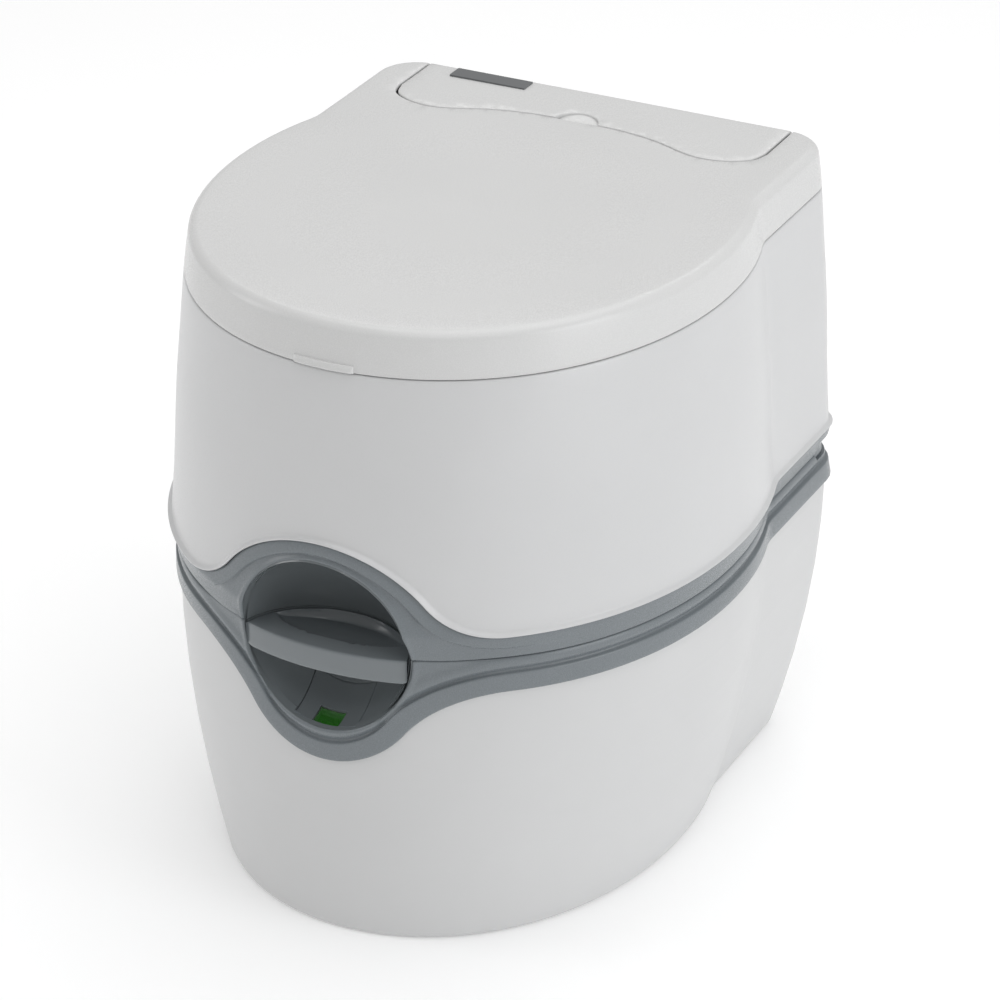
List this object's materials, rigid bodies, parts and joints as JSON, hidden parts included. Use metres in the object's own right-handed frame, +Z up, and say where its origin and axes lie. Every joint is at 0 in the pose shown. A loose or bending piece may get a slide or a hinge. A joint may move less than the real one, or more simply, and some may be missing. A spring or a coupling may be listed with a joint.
{
  "type": "portable cassette toilet",
  "caption": "White portable cassette toilet with a grey trim band, a front handle recess, a hinged lid, seat and rear cover, and a lift-off upper section.",
  "frame": {"origin": "middle of the footprint's bounding box, on the floor", "axes": "+Z up, front of the toilet towards -Y, its right-hand side seen from the front towards +X"},
  "size_m": [0.3948, 0.4386, 0.4462],
  "materials": {
    "white_plastic": "satin moulded",
    "lid_plastic": "satin moulded",
    "tank_plastic": "satin blow-moulded",
    "grey_trim": "satin grey",
    "handle_plastic": "gloss grey",
    "recess_plastic": "gloss dark grey",
    "clear_window": "clear",
    "inner_plastic": "plain moulded",
    "bowl_plastic": "gloss white",
    "grey_blade": "plain moulded",
    "dark_spout": "plain moulded",
    "grey_cap": "satin grey",
    "flag_green": "plain green",
    "seal_rubber": "black rubber",
    "hose_rubber": "soft hose",
    "steel": "stainless",
    "badge": "gloss dark"
  },
  "bodies": {
    "lower_section": {"waste_tank": "tank_plastic", "lower_trim": "grey_trim", "lower_recess": "recess_plastic", "indicator_panel": "recess_plastic", "indicator_window": "clear_window", "valve_frame": "inner_plastic", "valve_frame_screws": "steel", "valve_lip_seal": "seal_rubber", "float_bracket": "inner_plastic", "float_pivot_pin": "steel", "spout_seal": "seal_rubber", "vent_seal": "seal_rubber", "vent_spring": "steel"},
    "valve_slide": {"valve_blade": "grey_blade", "valve_handle": "handle_plastic", "handle_screws": "steel"},
    "level_float": {"float_arm": "inner_plastic", "float_ball": "inner_plastic", "indicator_flag": "flag_green"},
    "pour_out_spout": {"pour_spout": "dark_spout"},
    "spout_closure": {"spout_cap": "grey_cap", "spout_cap_seal": "seal_rubber"},
    "vent": {"vent_button": "grey_cap", "vent_valve": "inner_plastic"},
    "upper_section": {"upper_shell": "white_plastic", "upper_trim": "grey_trim", "upper_recess": "recess_plastic", "base_plate": "inner_plastic", "bowl": "bowl_plastic", "upper_deck": "bowl_plastic", "outlet_seal": "seal_rubber", "lid_hinge_pins": "steel", "seat_hinge_pins": "steel", "fill_neck": "inner_plastic", "pump_cylinder": "inner_plastic", "foot_valve": "inner_plastic", "pump_hose": "hose_rubber", "flush_nozzle": "inner_plastic", "latch_pin": "steel", "pump_spring": "steel"},
    "lid_body": {"lid": "lid_plastic", "lid_tab": "lid_plastic", "lid_bumpers": "seal_rubber"},
    "seat_body": {"seat": "lid_plastic", "seat_bumpers": "seal_rubber"},
    "service_cover": {"rear_cover": "lid_plastic", "badge_plate": "badge"},
    "filler": {"fill_cap": "grey_cap", "fill_cap_seal": "seal_rubber"},
    "pump_plunger": {"pump_knob": "grey_cap", "pump_rod": "steel", "pump_piston": "inner_plastic", "piston_seal": "seal_rubber"},
    "rear_latch": {"latch_lever": "grey_trim"}
  },
  "joints": [
    {"name": "section_lift", "type": "slide", "parent": "lower_section", "child": "upper_section", "axis": [0, 0, 1], "range_m": [0, 0.12]},
    {"name": "lid_hinge", "type": "hinge", "parent": "upper_section", "child": "lid_body", "pos_m": [0, 0.2122, 0.4192], "axis": [-1, 0, 0], "range_deg": [0, 95]},
    {"name": "seat_hinge", "type": "hinge", "parent": "upper_section", "child": "seat_body", "pos_m": [0, 0.116, 0.415], "axis": [-1, 0, 0], "range_deg": [0, 95]},
    {"name": "rear_cover_hinge", "type": "hinge", "parent": "upper_section", "child": "service_cover", "pos_m": [0, 0.2122, 0.4192], "axis": [-1, 0, 0], "range_deg": [0, 95]},
    {"name": "fill_cap_turn", "type": "hinge", "parent": "upper_section", "child": "filler", "pos_m": [-0.07, 0.182, 0.415], "axis": [0, 0, 1], "range_deg": [0, 90]},
    {"name": "pump_stroke", "type": "slide", "parent": "upper_section", "child": "pump_plunger", "axis": [0, 0, -1], "range_m": [0, 0.028], "stiffness_N_per_m": 180, "springref_m": -0.006, "deforming": ["pump_spring"]},
    {"name": "latch_swing", "type": "hinge", "parent": "upper_section", "child": "rear_latch", "pos_m": [0, 0.2186, 0.233], "axis": [1, 0, 0], "range_deg": [0, 45]},
    {"name": "blade_slide", "type": "slide", "parent": "lower_section", "child": "valve_slide", "axis": [0, -1, 0], "range_m": [0, 0.106]},
    {"name": "float_hinge", "type": "hinge", "parent": "lower_section", "child": "level_float", "pos_m": [0, -0.176, 0.147], "axis": [1, 0, 0], "range_deg": [0, 35]},
    {"name": "spout_swing", "type": "hinge", "parent": "lower_section", "child": "pour_out_spout", "pos_m": [0.118, 0.1965, 0.1715], "axis": [0, 0, -1], "range_deg": [0, 90]},
    {"name": "spout_cap_turn", "type": "hinge", "parent": "pour_out_spout", "child": "spout_closure", "pos_m": [-0.05, 0.1965, 0.1715], "axis": [-1, 0, 0], "range_deg": [0, 90]},
    {"name": "vent_press", "type": "slide", "parent": "lower_section", "child": "vent", "axis": [0, -1, 0], "range_m": [0, 0.0022], "stiffness_N_per_m": 600, "springref_m": -0.001, "deforming": ["vent_spring"]}
  ],
  "couplings": [
    {"joint": "seat_hinge", "follows": "lid_hinge", "ratio": 1}
  ]
}
